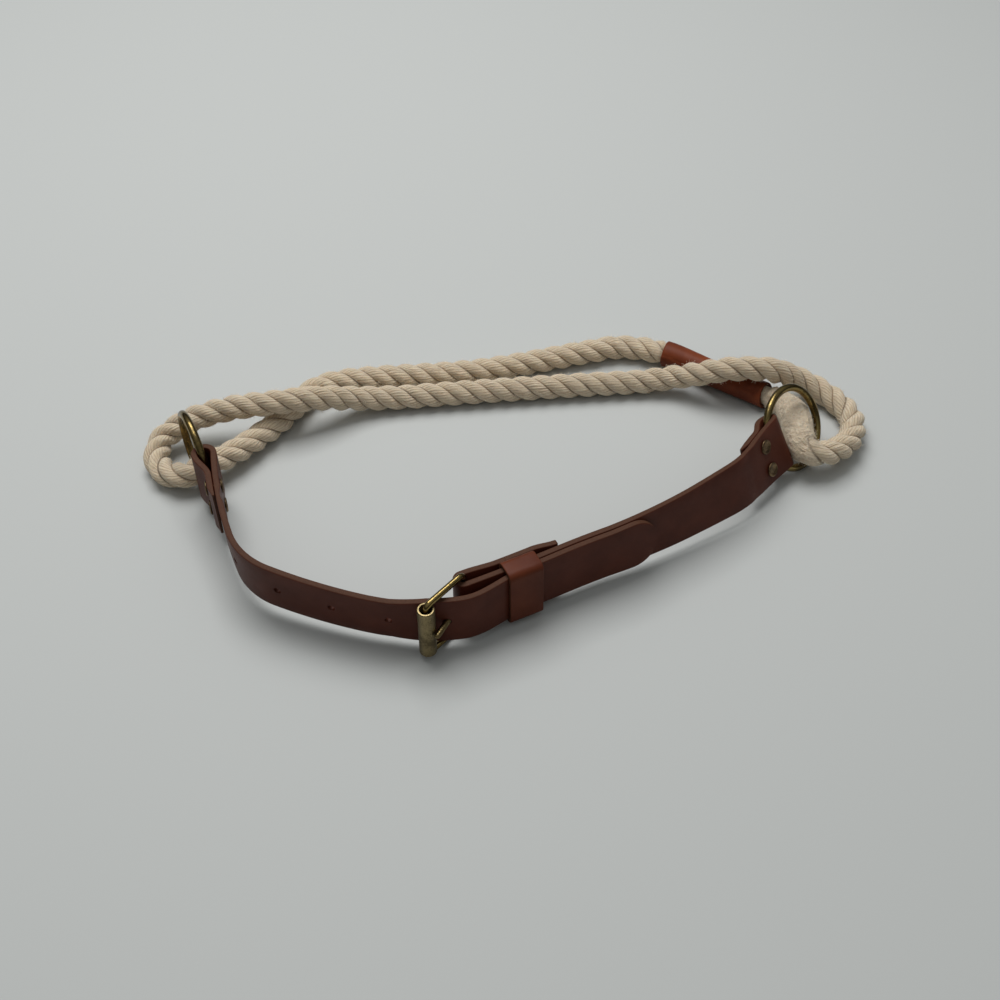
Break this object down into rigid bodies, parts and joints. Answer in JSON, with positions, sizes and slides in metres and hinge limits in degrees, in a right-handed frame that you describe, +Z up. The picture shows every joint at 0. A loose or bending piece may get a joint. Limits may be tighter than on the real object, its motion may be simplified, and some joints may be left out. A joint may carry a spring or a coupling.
{
  "type": "rope belt",
  "caption": "Belt of doubled cotton rope behind and leather straps in front, joined by brass rings and fastened with a roller buckle, lying on its edge.",
  "frame": {"origin": "on the surface that the belt lies on, under the middle of the whole belt", "axes": "+X along the belt's longest way, from the ring of the strap with the holes to the ring of the strap with the buckle; +Y from the buckle in front to the rope behind; +Z up"},
  "size_m": [0.3358, 0.195, 0.04],
  "materials": {
    "strap_leather": "satin",
    "sleeve_leather": "satin",
    "cotton": "matte",
    "brass": "polished"
  },
  "bodies": {
    "root": {"buckle_strap": "strap_leather", "billet_strap": "strap_leather", "keeper": "strap_leather", "buckle_frame": "brass", "buckle_roller": "brass", "buckle_prong": "brass", "ring_right": "brass", "ring_left": "brass", "rivet_ring_right_1": "brass", "rivet_ring_right_2": "brass", "rivet_ring_left_1": "brass", "rivet_ring_left_2": "brass", "rope": "cotton", "rope_sleeve": "sleeve_leather"}
  },
  "joints": []
}
